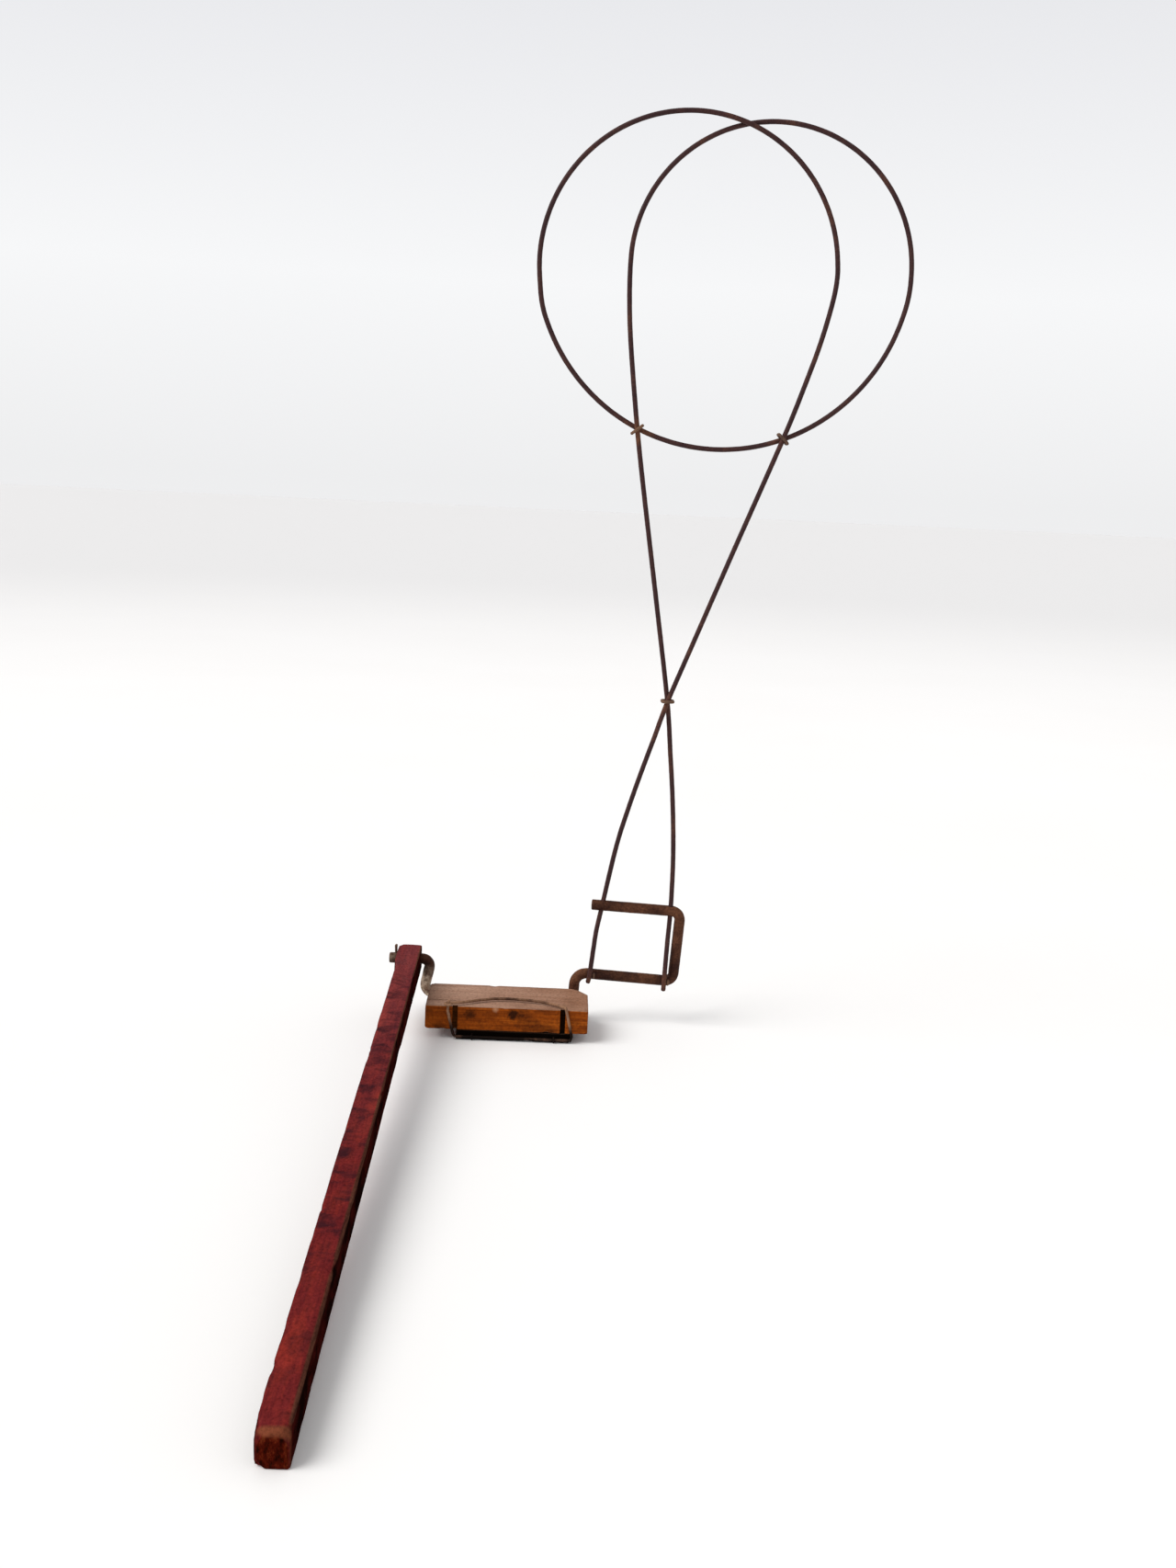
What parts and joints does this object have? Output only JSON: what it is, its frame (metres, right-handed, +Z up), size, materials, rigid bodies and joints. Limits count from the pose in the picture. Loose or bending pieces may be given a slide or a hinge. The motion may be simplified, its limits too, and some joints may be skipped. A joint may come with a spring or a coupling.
{
  "type": "lever-operated wire hoop frame",
  "caption": "Wire double hoop standing on a cranked iron rod behind a small wooden block, worked by a long red wooden lever on the crank's stub.",
  "frame": {"origin": "middle of the foot bar's underside, on the surface that the object stands on", "axes": "+X along the shaft from the lever to the hoop, +Y away from the lever's free end, +Z up"},
  "size_m": [0.4229, 0.7419, 0.7809],
  "materials": {
    "block_wood": "worn orange-brown varnish on the front, bleached grey-brown top",
    "dark_wood": "dark, dry and dirty",
    "red_paint": "old dark red paint worn through to brown wood at the edges",
    "rod_iron": "dark brown rust, slightly polished where handled",
    "wire_iron": "dark oxide with brown rust",
    "rusty_iron": "orange-brown rust"
  },
  "bodies": {
    "block": {"bearing_block": "block_wood", "foot_bar": "dark_wood", "foot_nail_1": "rusty_iron", "foot_nail_2": "rusty_iron", "foot_nail_3": "rusty_iron", "foot_nail_4": "rusty_iron", "shaft_staple_left": "rusty_iron", "shaft_staple_right": "rusty_iron", "bail_staple_left": "rusty_iron", "bail_staple_right": "rusty_iron"},
    "crank": {"crank_rod": "rod_iron", "hoop_wire": "wire_iron", "hoop_clip_left": "rusty_iron", "hoop_clip_right": "rusty_iron", "neck_clip": "rusty_iron", "tack_weld_left": "rusty_iron", "tack_weld_right": "rusty_iron", "cotter_pin": "rusty_iron"},
    "lever": {"push_lever": "red_paint"},
    "bail": {"bail_wire": "wire_iron"}
  },
  "joints": [
    {"name": "crank_turn", "type": "hinge", "parent": "block", "child": "crank", "pos_m": [0, 0.02855, 0.0186], "axis": [-1, 0, 0], "range_deg": [0, 90]},
    {"name": "lever_pivot", "type": "hinge", "parent": "crank", "child": "lever", "pos_m": [-0.0961, 0.02855, 0.0495], "axis": [-1, 0, 0], "continuous": true},
    {"name": "bail_swing", "type": "hinge", "parent": "block", "child": "bail", "pos_m": [0, -0.044, 0.0028], "axis": [1, 0, 0], "range_deg": [0, 90]}
  ]
}
